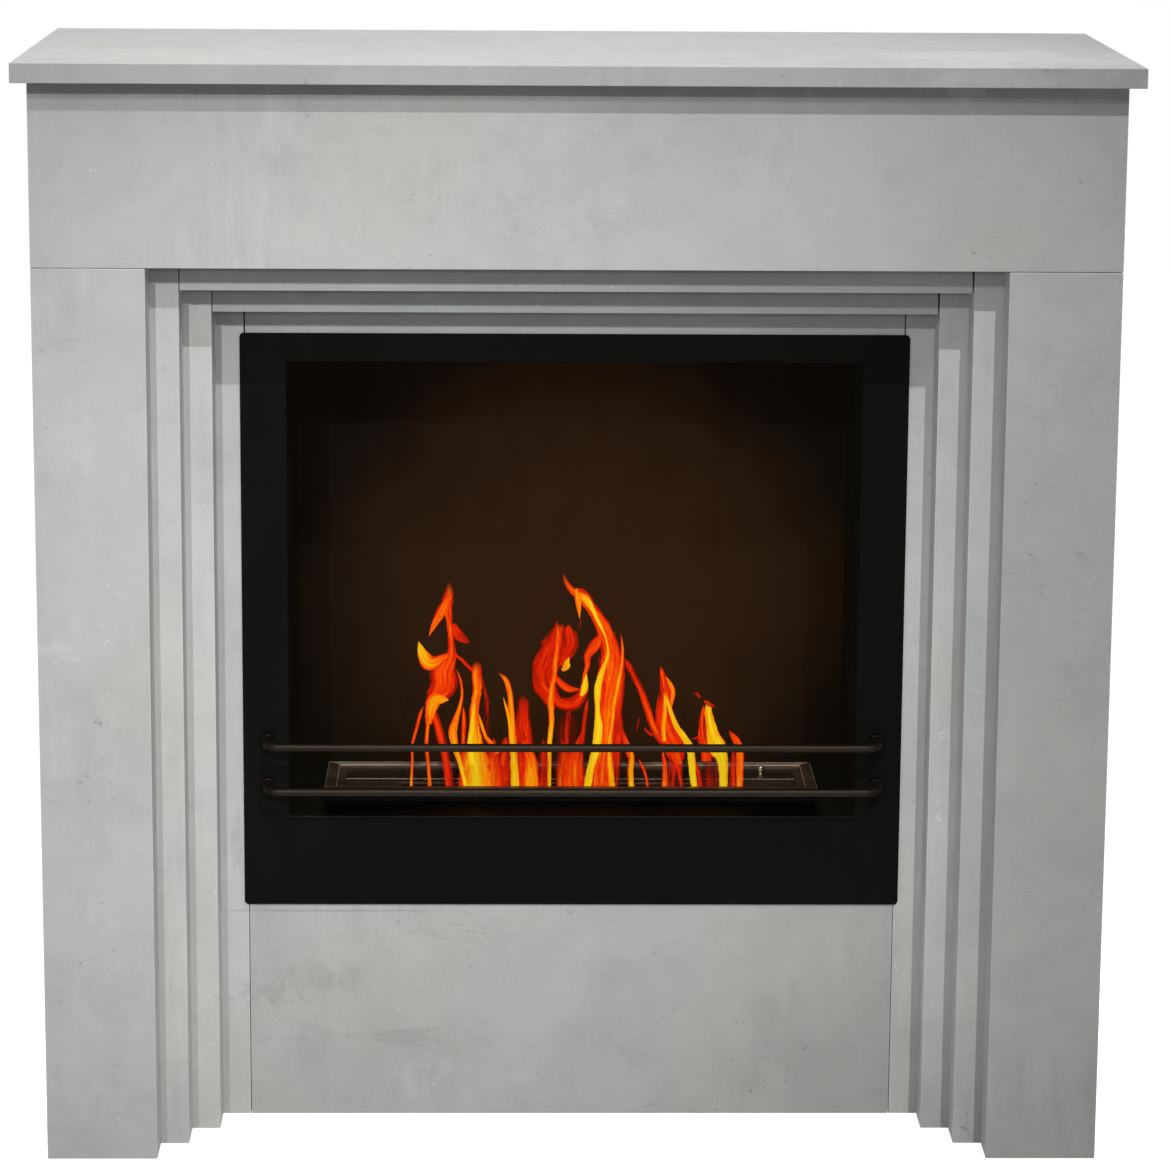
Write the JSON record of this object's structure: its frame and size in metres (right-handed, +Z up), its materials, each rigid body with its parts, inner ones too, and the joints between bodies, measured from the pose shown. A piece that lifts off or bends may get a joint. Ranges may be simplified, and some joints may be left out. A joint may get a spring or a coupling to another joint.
{
  "type": "bioethanol fireplace",
  "caption": "Free-standing ethanol fireplace: a mantel surround of stepped concrete-look boards round a black steel firebox with safety rods and a lift-out burner with a sliding shutter.",
  "frame": {"origin": "middle of the footprint, on the floor", "axes": "+X to the viewer's right along the mantel shelf, -Y towards the viewer, +Z up"},
  "size_m": [1.02, 0.4, 1.04],
  "materials": {
    "concrete_board": "matt concrete-look laminate on board",
    "raw_board": "bare chipboard",
    "hardboard": "bare hardboard, smooth face out",
    "beech": "bare beech",
    "zinc_steel": "bright zinc plate",
    "yellow_screws": "yellow zinc plate",
    "black_flange": "matt black powder coat",
    "black_sheet": "matt black heat-resistant paint",
    "bronze_rod": "satin dark bronze paint",
    "burner_plate": "satin heat-tinted black steel",
    "tank_steel": "plain steel",
    "ceramic_wool": "fibre wool",
    "knob_brass": "polished",
    "flame": "burning ethanol"
  },
  "bodies": {
    "surround": {"mantel_shelf": "concrete_board", "frieze_board": "concrete_board", "pilaster_left": "concrete_board", "pilaster_right": "concrete_board", "step1_jamb_left": "concrete_board", "step1_jamb_right": "concrete_board", "step1_header": "concrete_board", "step2_jamb_left": "concrete_board", "step2_jamb_right": "concrete_board", "step2_header": "concrete_board", "step3_jamb_left": "concrete_board", "step3_jamb_right": "concrete_board", "step3_header": "concrete_board", "pilaster_packer_left": "concrete_board", "pilaster_packer_right": "concrete_board", "frieze_packer": "concrete_board", "step1_packer_left": "concrete_board", "step1_packer_right": "concrete_board", "step1_header_packer": "concrete_board", "step2_packer_left": "concrete_board", "step2_packer_right": "concrete_board", "step2_header_packer": "concrete_board", "apron_panel": "concrete_board", "apron_cleat_left": "raw_board", "apron_cleat_right": "raw_board", "side_panel_left": "concrete_board", "side_panel_right": "concrete_board", "insert_shelf": "raw_board", "shelf_cleat_left": "raw_board", "shelf_cleat_right": "raw_board", "top_rail_front": "raw_board", "top_rail_back": "raw_board", "bottom_rail_back": "raw_board", "back_panel": "hardboard", "dowels": "beech", "shelf_brackets": "zinc_steel", "bracket_screws": "yellow_screws", "insert_flange": "black_flange", "firebox_wall_left": "black_sheet", "firebox_wall_right": "black_sheet", "firebox_back": "black_sheet", "firebox_ceiling": "black_sheet", "firebox_floor": "black_sheet", "casing_base": "black_sheet", "casing_tabs": "black_sheet", "tab_screws": "yellow_screws", "safety_rod_upper": "bronze_rod", "safety_rod_lower": "bronze_rod", "rod_collars": "bronze_rod", "rod_nuts": "zinc_steel"},
    "burner": {"burner_tank": "tank_steel", "ceramic_wool": "ceramic_wool", "burner_top_plate": "burner_plate", "shutter_guides": "burner_plate"},
    "shutter": {"shutter": "burner_plate", "shutter_knob": "knob_brass"}
  },
  "joints": [
    {"name": "burner_lift", "type": "slide", "parent": "surround", "child": "burner", "axis": [0, 0, 1], "range_m": [0, 0.14]},
    {"name": "shutter_slide", "type": "slide", "parent": "burner", "child": "shutter", "axis": [0, -1, 0], "range_m": [0, 0.0405]}
  ]
}
